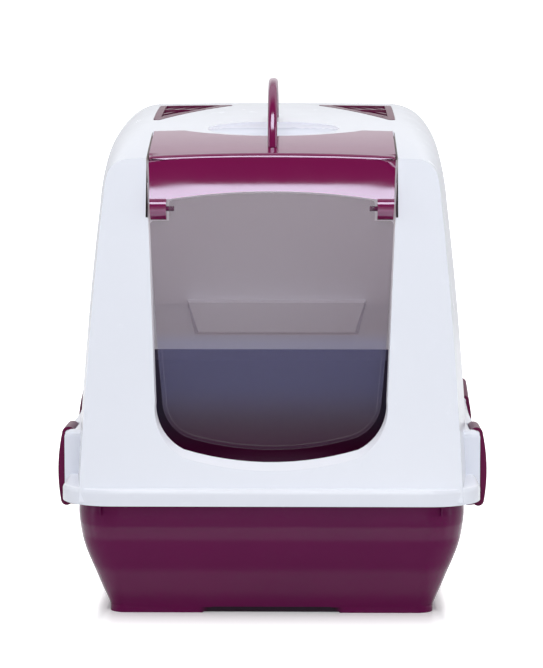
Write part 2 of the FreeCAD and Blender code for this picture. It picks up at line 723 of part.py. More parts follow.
def build_visor():
    skin_layer = hood_body(-S["visor_proud"]).cut(hood_body(wall))
    cover = skin_layer.common(visor_outline(S["visor_gap"], 0))
    above_lip = Part.makeBox(WIDE, length, TALL, at(-WIDE / 2, 0, ridge - S["lip_drop"] - wall))
    cover = cover.common(above_lip)

    # The lip: a sloping sheet whose lower edge is arched.
    half_width = S["door_half_top"] - S["visor_gap"]
    outer_root, outer_tip = lip_profile(0)
    back = Vector(0, wall, 0)
    up = Vector(0, 0, wall)
    sheet_wire = polygon([outer_root, outer_tip, outer_tip + back, outer_root + back - up])
    lip = slab(sheet_wire, Vector(2 * half_width, 0, 0))
    lip.translate(Vector(-half_width, 0, 0))
    low = outer_tip.z
    inner = S["ear_inner"]
    corner = low + S["lip_step"]
    arch_wire = Part.Wire([
        line(at(-inner, 0, low - wall), at(inner, 0, low - wall)),
        line(at(inner, 0, low - wall), at(inner, 0, corner)),
        arc(at(inner, 0, corner), at(0, 0, corner + S["lip_arch"]), at(-inner, 0, corner)),
        line(at(-inner, 0, corner), at(-inner, 0, low - wall))])
    lip = lip.cut(slab(arch_wire, Vector(0, length / 2, 0)))

    # One ear: a round end on the flap axis, with a web up into the lip.
    ear = flap_axis_rod(S["ear_radius"], S["ear_inner"], half_width)
    ear_front = at(0, S["pivot_depth"] - S["ear_radius"], 0).y
    web = Part.makeBox(half_width - S["ear_inner"], 2 * S["ear_radius"], outer_root.z - pivot_height,
                       Vector(S["ear_inner"], ear_front, pivot_height))
    behind_lip = slab(polygon([outer_root, outer_tip, outer_tip + Vector(0, length, 0),
                               outer_root + Vector(0, length, 0)]), Vector(WIDE, 0, 0))
    lower_web = web.common(Part.makeBox(WIDE, length, low - pivot_height, at(-WIDE / 2, 0, pivot_height)))
    ear = ear.fuse([web.common(behind_lip), lower_web])
    bore = flap_axis_rod(S["pin_radius"] + S["pivot_gap"], 0, S["ear_inner"] + S["pin_in_ear"])
    ears = both_sides(ear).cut(both_sides(bore))

    bosses = [upright_rod(x, depth, S["boss_radius"], boss_end(x, depth),
                          top_of(body_outer, x, depth) - wall / 2)
              for x, depth in visor_screw_places()]
    visor = cover.fuse([lip, ears] + bosses)

    # In front, the visor stands in the door opening and keeps clear of its sides.
    opening = Part.makeLoft([door_wire(-S["visor_gap"], 0, -S["roof_corner"]),
                             door_wire(-S["visor_gap"], 0, S["roof_corner"])], True)
    carried = Part.makeBox(WIDE, length, TALL, at(-WIDE / 2, S["pocket_start"], 0))
    visor = visor.common(opening.fuse(carried))
    bores = [upright_rod(x, depth, S["screw_radius"] + S["pivot_gap"], joint,
                         boss_end(x, depth) + S["screw_bite"] - wall + S["pivot_gap"])
             for x, depth in visor_screw_places()]
    front = handle_screw_depths()[0]
    bores.append(upright_rod(0, front, S["screw_radius"] + S["pivot_gap"], joint, TALL))
    return visor.cut(bores)


# ---------------------------------------------------------------- flap and its pins

def flap_wire(grow):
    """The outline of the flap in the plane of its axis, moved outwards by a distance."""
    foot = pivot_height - S["flap_length"]
    corner = (0.755 * S["flap_half_foot"], foot + 11.7)
    side_foot = (S["flap_half_foot"], foot + 47)
    corner_mid = (0.924 * S["flap_half_foot"], foot + 25)
    neck = pivot_height - S["ear_radius"] - 1
    tab = S["ear_inner"] - S["flap_tab_gap"]
    side_mid = ((side_foot[0] + S["flap_half_top"]) / 2 + 1.4, (side_foot[1] + neck) / 2)
    tab_top = pivot_height + S["flap_tab_rise"]
    tab_middle = tab_top + S["lip_arch"] - 0.5

    def right(x, z, away_x=0.0, away_z=0.0):
        return at(x + grow * away_x, S["pivot_depth"], z + grow * away_z)

    r = [right(*corner, 0.3, -0.95), right(*corner_mid, 0.8, -0.6), right(*side_foot, 1, 0),
         right(*side_mid, 1, 0), right(S["flap_half_top"], neck, 1, 1), right(tab, neck, 1, 1),
         right(tab, tab_top, 1, 1)]
    f = [Vector(-p.x, p.y, p.z) for p in r]
    return Part.Wire([
        arc(f[0], right(0, foot, 0, -1), r[0]), arc(r[0], r[1], r[2]), arc(r[2], r[3], r[4]),
        line(r[4], r[5]), line(r[5], r[6]), arc(r[6], right(0, tab_middle, 0, 1), f[6]),
        line(f[6], f[5]), line(f[5], f[4]), arc(f[4], f[3], f[2]), arc(f[2], f[1], f[0])])


def build_flap():
    def plate(grow, thickness):
        pane = slab(flap_wire(grow), Vector(0, thickness, 0))
        pane.translate(Vector(0, -thickness / 2, 0))
        return pane

    thick = S["flap_thickness"] + 2 * S["flap_rim_height"]
    rim = plate(0, thick)
    rim = rim.makeFillet(4, [e for e in rim.Edges if e.Length < thick + 0.01
                             and e.CenterOfMass.z > pivot_height - S["ear_radius"] - 2
                             and (e.CenterOfMass.z > pivot_height or abs(e.CenterOfMass.x) > S["ear_inner"])])
    window = plate(-S["flap_rim"], 2 * thick)
    flap = rim.cut(window).fuse(window.common(plate(0, S["flap_thickness"])))
    tab = S["ear_inner"] - S["flap_tab_gap"]
    knuckle = flap_axis_rod(S["knuckle_radius"], tab - S["pin_in_flap"] - wall, tab)
    bore = flap_axis_rod(S["pin_radius"] + S["pivot_gap"], tab - S["pin_in_flap"] - S["pivot_gap"], TALL)
    return flap.fuse(both_sides(knuckle)).cut(both_sides(bore))


def add_flap_pin(name, start):
    """A flap pin, from the flap through the gap into the ear; its start is a sheet expression."""
    pin = bound("Part::Cylinder", name, Radius="Sizes.pin_radius",
                Height="Sizes.pin_in_flap + Sizes.flap_tab_gap + Sizes.pin_in_ear - Sizes.pivot_gap")
    pin.Placement = Placement(Vector(0, 0, 0), Rotation(Vector(0, 1, 0), 90))
    pin.setExpression(".Placement.Base.x", start)
    pin.setExpression(".Placement.Base.y", "Sizes.pivot_depth - Sizes.overall_length / 2")
    pin.setExpression(".Placement.Base.z", "Sizes.hood_height - Sizes.ridge_drop - Sizes.pivot_drop")
    finished.append(pin)


# ---------------------------------------------------------------- handle

def add_handle():
    """An arch in the middle plane: a padded sketch with rounded edges, its feet cut to the roof."""
    body = doc.addObject("PartDesign::Body", "handle_arch")
    sketch = body.newObject("Sketcher::SketchObject", "handle_side_view")
    plane = next(item for item in body.Origin.OriginFeatures if item.Role == "YZ_Plane")
    sketch.AttachmentSupport = [(plane, "")]
    sketch.MapMode = "FlatFace"
    sketch.setExpression("AttachmentOffset.Base.z", "-Sizes.handle_width / 2")

    # Outer and inner arc, each by its two feet and its radius; the feet of each pair are joined.
    foot = ridge
    middle = (S["handle_front"] + S["handle_rear"]) / 2
    top = S["hood_height"] + S["handle_rise"]
    spans = {"outer": ("Sizes.handle_front - 3", "Sizes.handle_rear + 3",
                       S["handle_front"] - 3, S["handle_rear"] + 3, top, "0"),
             "inner": ("Sizes.handle_front + Sizes.handle_thickness - 3",
                       "Sizes.handle_rear - Sizes.handle_thickness + 3",
                       S["handle_front"] + S["handle_thickness"] - 3,
                       S["handle_rear"] - S["handle_thickness"] + 3, top - S["handle_grip"],
                       "Sizes.handle_grip")}
    for number, (name, span) in enumerate(spans.items()):
        start_rule, end_rule, start, end, crest, drop = span
        ends = [Vector(end - length / 2, foot, 0), Vector(start - length / 2, foot, 0)]
        sketch.addGeometry(Part.Arc(ends[0], Vector(middle - length / 2, crest, 0), ends[1]))
        rise = "(Sizes.ridge_drop + Sizes.handle_rise - %s)" % drop
        radius = "(((%s) - (%s)) ^ 2 / 4 + %s ^ 2) / (2 * %s)" % (end_rule, start_rule, rise, rise)
        fixed = [("DistanceX", 1, ends[0].x, "%s - Sizes.overall_length / 2" % end_rule),
                 ("DistanceX", 2, ends[1].x, "%s - Sizes.overall_length / 2" % start_rule),
                 ("DistanceY", 1, foot, "Sizes.hood_height - Sizes.ridge_drop"),
                 ("DistanceY", 2, foot, "Sizes.hood_height - Sizes.ridge_drop")]
        for kind, end_number, value, rule in fixed:
            index = sketch.addConstraint(Sketcher.Constraint(kind, -1, 1, number, end_number, value))
            sketch.setExpression("Constraints[%d]" % index, rule)
        arc_radius = sketch.Geometry[number].Radius
        index = sketch.addConstraint(Sketcher.Constraint("Radius", number, arc_radius))
        sketch.setExpression("Constraints[%d]" % index, radius)
    for end_number in (1, 2):
        outer_foot = sketch.getPoint(0, end_number)
        inner_foot = sketch.getPoint(1, end_number)
        side = sketch.addGeometry(Part.LineSegment(outer_foot, inner_foot))
        sketch.addConstraint(Sketcher.Constraint("Coincident", side, 1, 0, end_number))
        sketch.addConstraint(Sketcher.Constraint("Coincident", side, 2, 1, end_number))
    doc.recompute()

    pad = body.newObject("PartDesign::Pad", "handle_pad")
    pad.Profile = sketch
    pad.setExpression("Length", "Sizes.handle_width")
    doc.recompute()
    long_edges = ["Edge%d" % number for number, edge in enumerate(pad.Shape.Edges, start=1)
                  if edge.Length > middle]
    rounding = body.newObject("PartDesign::Fillet", "handle_rounding")
    rounding.Base = (pad, long_edges)
    rounding.setExpression("Radius", "0.4 * Sizes.handle_width")
    body.Tip = rounding
    doc.recompute()

    # What the arch keeps clear of: the roof behind the visor, the visor, and the two screws.
    on_visor = Part.makeBox(WIDE, middle, TALL, at(-WIDE / 2, 0, 0))
    roof = doc.addObject("Part::Feature", "roof_under_the_handle")
    roof.Shape = hood_body(-S["seat_gap"]).fuse(hood_body(-S["visor_proud"] - S["seat_gap"]).common(on_visor))
    tools = [roof]
    for number, depth in enumerate(handle_screw_depths(), start=1):
        bore = bound("Part::Cylinder", "handle_bore_%d" % number, Radius="Sizes.screw_radius + Sizes.pivot_gap")
        bore.Height = top_of(body_outer, 0, depth) + S["screw_bite"] + S["pivot_gap"] - joint
        bore.Placement.Base = at(0, depth, joint)
        tools.append(bore)
    clear = doc.addObject("Part::MultiFuse", "handle_clearance")
    clear.Shapes = tools
    handle = doc.addObject("Part::Cut", "carry_handle")
    handle.Base = body
    handle.Tool = clear
    finished.append(handle)


# ---------------------------------------------------------------- vents and filters

def build_vent_cover():
    """The right vent cover: a rim, slats parallel to the slanting side, and one curved rib."""
    layer = hood_body(-0.3).cut(hood_body(wall))
    plate = layer.common(vent_outline(S["edge_gap"]))
    window = vent_outline(S["edge_gap"] + S["cover_rim"])
    rim = plate.cut(window)
    width = S["vent_outer"] - S["vent_inner"]
    depth = S["vent_rear"] - S["vent_front"]
    slant = math.hypot(width, depth)
    along = Vector(-width / slant, depth / slant, 0)
    across = Vector(depth / slant, width / slant, 0)
    tip = at(S["vent_outer"], S["vent_front"], 0)
    grille = rim
    low = hood_body(wall / 2)
    count = int(width * depth / slant / S["vent_pitch"])
    for number in range(1, count + 1):
        start = tip + across * (number * S["vent_pitch"] + 1)
        far = start + across * S["vent_slat"]
        slat = slab(polygon([start, far, far + along * slant, start + along * slant]), Vector(0, 0, TALL))
        grille = grille.fuse(plate.common(slat).common(window).common(low))
    rib_centre = tip + Vector(-0.2 * width, -0.35 * depth, 0)
    ring = Part.makeCylinder(0.97 * depth + 4, TALL, rib_centre).cut(
        Part.makeCylinder(0.97 * depth, TALL, rib_centre))
    return grille.fuse(plate.common(ring).common(window))


def build_filter_frame():
    """The frame that carries a filter pad, clipped under the roof below the vent."""
    gap = S["seat_gap"]
    outer = vent_outline(-1)
    top = pocket_under + gap
    depth = S["filter_thickness"] + 2
    walls = hood_body(top).cut(hood_body(top + depth + gap)).common(outer.cut(vent_outline(1)))
    floor = hood_body(top + depth - 1.5).cut(hood_body(top + depth + gap)).common(outer)
    holes = vent_outline(2 * S["cover_rim"])
    bars = []
    for number in range(-6, 12):
        x = S["vent_inner"] + number * S["vent_pitch"]
        bars.append(Part.makeBox(2.5, length, TALL, at(x, 0, 0)))
    return walls.fuse(floor.cut(holes.cut(bars)))


def build_filter_pad():
    gap = S["seat_gap"]
    top = pocket_under + gap
    pad = hood_body(top + gap).cut(hood_body(top + S["filter_thickness"]))
    return pad.common(vent_outline(1 + gap))


# ---------------------------------------------------------------- latches and keepers

def keeper_underside(x, clearance):
    """Height of the sloping underside of the keeper, or of the toe of the latch below it."""
    tip = half - S["keeper_reach"]
    slope = math.tan(math.radians(S["keeper_slope"]))
    height = joint - S["keeper_drop"] - S["keeper_height"]
    return height - slope * (tip - x) - clearance / math.cos(math.radians(S["keeper_slope"]))


def build_keeper():
    """The lug of the tray at the right front latch, hooked from below."""
    root = half - S["tray_inset"] - wall + 0.5
    tip = half - S["keeper_reach"]
    top = joint - S["keeper_drop"]
    reach = S["latch_length"] / 2 - 2
    start = S["latch_depth"] - reach
    wire = polygon([at(root, start, top), at(tip, start, top), at(tip, start, keeper_underside(tip, 0)),
                    at(root, start, keeper_underside(root, 0))])
    return slab(wire, Vector(0, 2 * reach, 0))


def build_latch():
    """The right front latch: an open eye on the bar, a bowed lever and a toe under the keeper."""
    start = S["latch_depth"] - S["latch_length"] / 2
    eye = S["latch_eye"]
    w = S["latch_wall"]
    bulge = half + S["latch_bulge"]
    toe_gap = 2 * S["seat_gap"]
    tip = half - S["keeper_reach"]
    toe_tip = tip - 8
    toe_root = tip + 2

    def p(x, z):
        return at(x, start, z)

    # Lever: from the eye down to the toe, bowed outwards.
    middle_z = (latch_z + joint) / 2 - 3
    top = p(latch_x + eye, latch_z)
    heel = p(bulge - 2.5, joint - 13)
    outer = arc(top, p(bulge, middle_z), heel)
    sole = arc(heel, p(bulge - 5, keeper_underside(toe_root, toe_gap) - 9.5),
               p(toe_root - 2, keeper_underside(toe_root, toe_gap) - 9))
    under = line(sole.Vertexes[1].Point, p(toe_tip, keeper_underside(toe_tip, toe_gap) - w))
    nose = line(under.Vertexes[1].Point, p(toe_tip, keeper_underside(toe_tip, toe_gap)))
    ramp = line(nose.Vertexes[1].Point, p(toe_root, keeper_underside(toe_root, toe_gap)))
    back = line(ramp.Vertexes[1].Point, p(bulge - 2.5 - w, joint - 3))
    inner_top = p(latch_x + eye - w, latch_z - 3)
    inner = arc(back.Vertexes[1].Point, p(bulge - w, middle_z), inner_top)
    close = line(inner_top, top)
    lever = slab(Part.Wire([outer, sole, under, nose, ramp, back, inner, close]),
                 Vector(0, S["latch_length"], 0))

    # Cheeks close the hollow of the lever at its two ends, just clear of the shoulders.
    beside = half + S["latch_clear"]
    low_inner, high_inner = p(beside, joint), p(beside, latch_z - 2 * eye)
    cheek_wire = Part.Wire([line(low_inner, high_inner), line(high_inner, inner_top), inner,
                            line(back.Vertexes[1].Point, low_inner)])
    cheek = slab(cheek_wire, Vector(0, w, 0))
    far_cheek = cheek.copy()
    far_cheek.translate(Vector(0, S["latch_length"] - w, 0))
    lever = lever.fuse([cheek, far_cheek])

    # Eye: a ring open below, so that it snaps on the bar and clears the web.
    half_length = S["latch_length"] / 2
    ring = latch_rod(eye, half_length).cut(latch_rod(S["latch_bar"] + S["pivot_gap"], half_length))
    mouth = polygon([p(latch_x, latch_z), p(latch_x - 2 * eye, latch_z + 1.1 * eye),
                     p(latch_x - 2 * eye, latch_z - 3 * eye),
                     p(latch_x + 0.95 * eye, latch_z - 3 * eye), p(latch_x + 0.95 * eye, latch_z - 0.95 * eye)])
    eye_open = ring.cut(slab(mouth, Vector(0, S["latch_length"], 0)))
    bar_space = latch_rod(S["latch_bar"] + S["pivot_gap"], half_length)
    return eye_open.fuse(lever.cut(bar_space))


# ---------------------------------------------------------------- tray

def wall_offset(height):
    """How far the tray wall stands in at a height: a straight draft, then an arc to the vertical."""
    bend_top = joint - 7
    bend_low = bend_top - S["shoulder_bend"]
    draft = math.radians(S["wall_draft"])
    radius = S["shoulder_bend"] / math.sin(draft)
    if height >= bend_top:
        return 0.0
    if height >= bend_low:
        return radius - math.sqrt(radius ** 2 - (bend_top - height) ** 2)
    return radius * (1 - math.cos(draft)) + (bend_low - height) * math.tan(draft)


def tray_plan(inset, height):
    """The plan of the tray at a height; its corners tighten towards the foot."""
    offset = wall_offset(height) + inset
    down = max(0.0, 1 - height / joint)
    radius = S["tray_corner"] - inset - down * (S["tray_corner"] - S["foot_corner"])
    return rounded_plan(half - S["tray_inset"] - offset, S["tray_front"] + offset,
                        length - S["tray_front"] - offset, radius, radius, height)


def tray_solid(inset, low):
    bend_top = joint - 7
    steps = 7
    heights = [low + (bend_top - low) * number / steps for number in range(steps + 1)]
    lower = Part.makeLoft([tray_plan(inset, height) for height in heights], True, False)
    upper = slab(tray_plan(inset, bend_top), Vector(0, 0, joint))
    return lower.fuse(upper)


def build_tray():
    rim_top = S["flange_height"] - wall - S["seat_gap"]
    outer = tray_solid(0, S["foot_height"])
    inner = tray_solid(wall, S["foot_height"] + wall)
    shell = outer.cut(inner).cut(above_joint(rim_top, -20, length + 20))

    # Rim turned out under the flange, following the joint line.
    rim_plate = band(rim_top - wall, rim_top, -20, length + 20)
    rim_outer = rounded_plan(half - S["tray_inset"] + S["rim_width"], S["tray_front"] - S["rim_width"],
                             length - S["tray_front"] + S["rim_width"], S["tray_corner"] + S["rim_width"] / 2,
                             S["tray_corner"] + S["rim_width"] / 2, 0)
    rim = slab(rim_outer, Vector(0, 0, TALL)).cut(slab(tray_plan(wall, joint), Vector(0, 0, TALL)).fuse(
        slab(tray_plan(wall, joint), Vector(0, 0, -joint)))).common(rim_plate)

    # Foot ring, set back in the middle of its front.
    foot_plan = wall_offset(S["foot_height"])
    radius = S["foot_corner"]

    def foot(inset):
        stand_in = foot_plan + inset
        plan = rounded_plan(half - S["tray_inset"] - stand_in, S["tray_front"] + stand_in,
                            length - S["tray_front"] - stand_in, radius - inset, radius - inset, 0)
        return slab(plan, Vector(0, 0, S["foot_height"] + 1))

    ring = foot(0).cut(foot(S["foot_width"]))
    gap = slab(polygon([at(-S["foot_gap"] - 10, 0, 0), at(S["foot_gap"] + 10, 0, 0),
                        at(S["foot_gap"], 0, S["foot_height"]), at(-S["foot_gap"], 0, S["foot_height"])]),
               Vector(0, S["tray_front"] + foot_plan + S["foot_recess"], 0))
    ring = ring.cut(gap)

    # Stiffening ribs beside the front corners, and a raised panel inside the rear wall.
    rib = Part.makeBox(wall / 2, 3 * wall, S["rib_height"],
                       at(S["rib_place"], S["tray_front"] + wall - 0.5, joint - S["rib_height"] - 1))
    low, round_off = joint + S["panel_rise"], S["panel_round"]
    rear_wall = length - S["tray_front"] - wall
    high = joint_point(rear_wall, 0).z - wall
    panel = Part.makeBox(2 * S["panel_half"], wall, high - low, at(-S["panel_half"], rear_wall - wall / 2, low))
    corners = [edge for edge in panel.Edges if abs(edge.Length - wall) < 0.01 and edge.CenterOfMass.z < low + 1]
    panel = panel.makeFillet(round_off, corners)

    keepers = at_all_latches(build_keeper())
    return shell.fuse([rim, ring, panel, keepers, both_sides(rib)])


# ---------------------------------------------------------------- the document

node("tray", build_tray())
node("hood_shell", build_hood())
node("front_visor", build_visor())
add_visor_screws()
node("door_flap", build_flap())
add_flap_pin("flap_pin_right", "Sizes.ear_inner - Sizes.flap_tab_gap - Sizes.pin_in_flap")
add_flap_pin("flap_pin_left", "Sizes.pivot_gap - Sizes.ear_inner - Sizes.pin_in_ear")
add_handle()
add_handle_screws()
latch = build_latch()
rear_latch = to_rear_latch(latch)
for place, shape in (("front", latch), ("rear", rear_latch)):
    node("latch_%s_right" % place, shape)
    node("latch_%s_left" % place, mirrored(shape))
for name, shape in (("vent_cover", build_vent_cover()), ("filter_frame", build_filter_frame()),
                    ("carbon_filter", build_filter_pad())):
    node(name + "_right", shape)
    node(name + "_left", mirrored(shape))

doc.recompute()
for thing in doc.Objects:
    if "Invalid" in thing.State or "Error" in thing.State:
        raise RuntimeError("%s failed to build" % thing.Label)
for part in finished:
    if part.Shape.isNull() or not part.Shape.isValid():
        raise RuntimeError("%s has no valid shape" % part.Label)

os.makedirs("parts", exist_ok=True)
for part in finished:
    part.Shape.exportStep(os.path.join("parts", part.Label + ".step"))
    box = part.Shape.BoundBox
    print("%-20s %2d solids %9.0f mm3  x %.1f..%.1f y %.1f..%.1f z %.1f..%.1f" % (
        part.Label, len(part.Shape.Solids), part.Shape.Volume,
        box.XMin, box.XMax, box.YMin, box.YMax, box.ZMin, box.ZMax))
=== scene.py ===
# %% [markdown]
# # A hooded cat litter box, dressed for a studio picture
#
# The box comes as a packed engineering model: every moulded piece is already a solid of the right
# size in the right place. This lesson gives those solids the look of real mouldings. It rounds
# their rims, writes a procedural finish for each plastic, and sets up a pale studio with one
# camera. All lengths are in metres. The door faces -Y, +Z is up, and the floor is at Z = 0.

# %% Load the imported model
import json
import math

import bmesh
import bpy
import numpy as np
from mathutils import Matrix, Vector


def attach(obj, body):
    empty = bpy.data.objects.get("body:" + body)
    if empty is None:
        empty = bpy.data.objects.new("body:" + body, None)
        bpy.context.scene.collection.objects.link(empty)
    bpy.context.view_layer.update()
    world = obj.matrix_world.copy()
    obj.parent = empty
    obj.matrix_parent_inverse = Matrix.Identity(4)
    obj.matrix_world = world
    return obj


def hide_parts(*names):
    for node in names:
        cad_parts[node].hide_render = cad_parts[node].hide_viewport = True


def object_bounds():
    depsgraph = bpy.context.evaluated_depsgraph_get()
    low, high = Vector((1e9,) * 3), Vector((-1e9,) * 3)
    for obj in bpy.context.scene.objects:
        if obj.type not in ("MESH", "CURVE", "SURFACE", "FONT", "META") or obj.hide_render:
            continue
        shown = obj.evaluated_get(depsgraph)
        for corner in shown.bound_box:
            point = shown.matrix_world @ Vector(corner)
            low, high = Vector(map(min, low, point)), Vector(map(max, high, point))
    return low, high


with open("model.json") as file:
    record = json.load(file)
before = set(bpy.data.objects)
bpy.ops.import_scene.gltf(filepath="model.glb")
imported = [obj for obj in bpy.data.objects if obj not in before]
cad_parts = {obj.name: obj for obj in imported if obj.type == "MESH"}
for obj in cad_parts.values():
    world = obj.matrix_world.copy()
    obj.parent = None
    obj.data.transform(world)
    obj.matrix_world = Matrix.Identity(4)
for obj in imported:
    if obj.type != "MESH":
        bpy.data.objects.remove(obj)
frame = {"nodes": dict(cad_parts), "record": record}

cad_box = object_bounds()
NODES = frame["nodes"]
print("pieces:", sorted(NODES))

# %% [markdown]
# ## Bodies
#
# The hood lifts off, the door flap swings, the vent covers come out and the latches open. Each of
# these is a body of the model, and a finished piece has to ride on the body of the solid that it
# stands for. The model's record already says which body that is, so it is looked up and not
# written down again.

# %% Which body carries which piece
BODY_OF = {}
for body_name, members in frame["record"]["behaviour"]["bodies"].items():
    for member in members:
        BODY_OF[member] = body_name
print("bodies:", sorted(set(BODY_OF.values())))

# %% [markdown]
# ## Rounded rims
#
# An injection moulding never has a knife-sharp rim: a fraction of a millimetre of rounding catches
# the light as a thin bright line. The engineering solids have their large roundings already, but
# their small rims are sharp. We could model each rounding in CAD, or let a Bevel modifier round
# every crease at once. The modifier is chosen, because one width then fits a whole piece. It needs
# connected faces, so each solid is copied, and its loose triangles are merged before the creases
# are found and rounded. A weight on each crease says how much of the width it takes.

# %% Where the model's main creases lie
RIDGE = (-0.150, 0.4445)         # y and z of the ridge, the top of the front panel
RIDGE_NEAR = (0.004, 0.008)      # its creases lie within this of it, in y and z
PANEL_FOOT = (-0.243, 0.113)     # y and z of the foot of the front panel
PANEL_LEAN = (RIDGE[0] - PANEL_FOOT[0]) / (RIDGE[1] - PANEL_FOOT[1])
PANEL_NEAR = 0.0012              # a crease this near to the panel's plane is on the panel
DOOR_HALF = 0.128                # the door opening lies nearer to the middle than this
SILL = 0.12                      # and higher than this
DISH_CENTRE = (0.0, -0.042)      # x and y of the dish for the hand, in the roof
DISH_HALF = (0.080, 0.0415)      # half its width and half its length
ROOF_LEVEL = 0.45                # only the roof lies higher than this
SMALL_RIM = 0.40                 # the share of the hood's rounding that its small rims take


def off_panel(point):
    """Distance in Y from the plane of the front panel."""
    return abs(point.y - PANEL_FOOT[0] - PANEL_LEAN * (point.z - PANEL_FOOT[1]))


def on_ridge(point):
    """Whether a point lies on the ridge of the visor, outside or inside its wall."""
    return (abs(point.y - RIDGE[0]) < RIDGE_NEAR[0]
            and abs(point.z - RIDGE[1]) < RIDGE_NEAR[1])


def in_dish(point):
    """Whether a point lies in the dish: (x / half width)^2 + (y / half length)^2 is below 1."""
    across = (point.x - DISH_CENTRE[0]) / DISH_HALF[0]
    ahead = (point.y - DISH_CENTRE[1]) / DISH_HALF[1]
    return across ** 2 + ahead ** 2 < 1.0 and point.z > ROOF_LEVEL


def visor_softness(point):
    """The rims of the visor are rounded evenly; its ridge gets a rounding of its own."""
    return 0.0 if on_ridge(point) else 1.0


def hood_softness(point):
    """The rim of the front panel is rounded fully, other rims less, and the dish not at all."""
    if in_dish(point):
        return 0.0
    on_rim = off_panel(point) < PANEL_NEAR and (abs(point.x) > DOOR_HALF or point.z < SILL)
    return 1.0 if on_rim else SMALL_RIM


def even_softness(point):
    """Every crease is rounded fully."""
    return 1.0


print("the front panel leans back by", round(PANEL_LEAN, 3), "in Y for each unit of height")

# %% Helpers that finish one moulded piece
MERGE_WITHIN = 2e-6                       # corners of triangles as near as this are one corner
CREASE = math.radians(25.0)               # faces that turn by more than this meet in a crease
MIDDLE = np.array([0.0, 0.03, 0.28])      # the middle of the space in the box
INWARDS = 0.15                            # a face that looks outwards less than this is inside


def merged_copy(node, softness):
    """The mesh of a CAD node, merged, smooth between creases, with a weight on each crease.

    A crease at point p weighs softness(p) for the rim rounding. For the ridge rounding it weighs
    1 on the ridge and 0 elsewhere.
    """
    mesh = NODES[node].data.copy()
    shell = bmesh.new()
    shell.from_mesh(mesh)
    bmesh.ops.remove_doubles(shell, verts=shell.verts, dist=MERGE_WITHIN)
    layers = shell.edges.layers.float
    for weight in ("bevel_weight_edge", "ridge_weight"):
        layers.new(weight)
    rim_weight, ridge_weight = layers["bevel_weight_edge"], layers["ridge_weight"]
    for face in shell.faces:
        face.smooth = True
    for edge in shell.edges:
        edge.smooth = not (edge.is_manifold and edge.calc_face_angle(0.0) > CREASE)
        if not edge.smooth:
            point = (edge.verts[0].co + edge.verts[1].co) / 2
            edge[rim_weight] = softness(point)
            edge[ridge_weight] = float(on_ridge(point))
    shell.to_mesh(mesh)
    shell.free()
    mesh.materials.clear()
    return mesh


def mark_inside(mesh):
    """Sets the attribute "inside" to 1 on faces that look towards the middle of the box.

    With n the normal of a face and d the direction from the middle to it, that is n . d < INWARDS.
    """
    normals = np.empty(len(mesh.polygons) * 3)
    places = np.empty(len(mesh.polygons) * 3)
    mesh.polygons.foreach_get("normal", normals)
    mesh.polygons.foreach_get("center", places)
    outwards = places.reshape(-1, 3) - MIDDLE
    outwards /= np.linalg.norm(outwards, axis=1, keepdims=True)
    facing = np.einsum("ij,ij->i", normals.reshape(-1, 3), outwards)
    mark = mesh.attributes.new("inside", "FLOAT", "FACE")
    mark.data.foreach_set("value", (facing < INWARDS).astype(np.float32))


def round_creases(piece, name, width, segments, weight, clamped):
    """A Bevel modifier that rounds each crease by its width times the weight of the crease."""
    bevel = piece.modifiers.new(name, "BEVEL")
    bevel.width = width
    bevel.segments = segments
    bevel.limit_method = "WEIGHT"
    bevel.edge_weight = weight
    bevel.use_clamp_overlap = clamped
    bevel.harden_normals = True


def moulded_copy(node, rim_rounding, ridge_rounding=0.0, softness=even_softness):
    """A finished copy of a CAD node, which takes the node's place and rides on its body."""
    mesh = merged_copy(node, softness)
    mark_inside(mesh)
    piece = bpy.data.objects.new(node + "_finished", mesh)
    bpy.context.scene.collection.objects.link(piece)
    if ridge_rounding:
        # Clamped to the short edges around it, this rounding would stay too small to see.
        round_creases(piece, "ridge rounding", ridge_rounding, 6, "ridge_weight", False)
    if rim_rounding:
        round_creases(piece, "rim rounding", rim_rounding, 3, "bevel_weight_edge", True)
    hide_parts(node)
    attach(piece, BODY_OF[node])
    creases = sum(edge.use_edge_sharp for edge in mesh.edges)
    print(node, "faces", len(mesh.polygons), "crease edges", creases)
    return piece

# %% [markdown]
# ## Shader maths in plain Python
#
# Materials here are formulas, so it helps to write them as formulas. A small class wraps a node
# socket and lets `+`, `-` and `*` add the Math nodes. Every other node comes from one method.

# %% The shader helper
class Value:
    """A socket that carries a number; arithmetic on it adds Math nodes."""

    def __init__(self, finish, socket):
        self.finish = finish
        self.socket = socket

    def _math(self, operation, first, second):
        return self.finish.node("ShaderNodeMath", {"operation": operation}, {0: first, 1: second})

    def __add__(self, other):
        return self._math("ADD", self, other)

    __radd__ = __add__

    def __sub__(self, other):
        return self._math("SUBTRACT", self, other)

    def __rsub__(self, other):
        return self._math("SUBTRACT", other, self)

    def __mul__(self, other):
        return self._math("MULTIPLY", self, other)

    __rmul__ = __mul__

    def absolute(self):
        return self.finish.node("ShaderNodeMath", {"operation": "ABSOLUTE"}, {0: self})

    def larger(self, other):
        return self._math("MAXIMUM", self, other)

    def clamp(self, low, high):
        return self._math("MINIMUM", self._math("MAXIMUM", self, low), high)


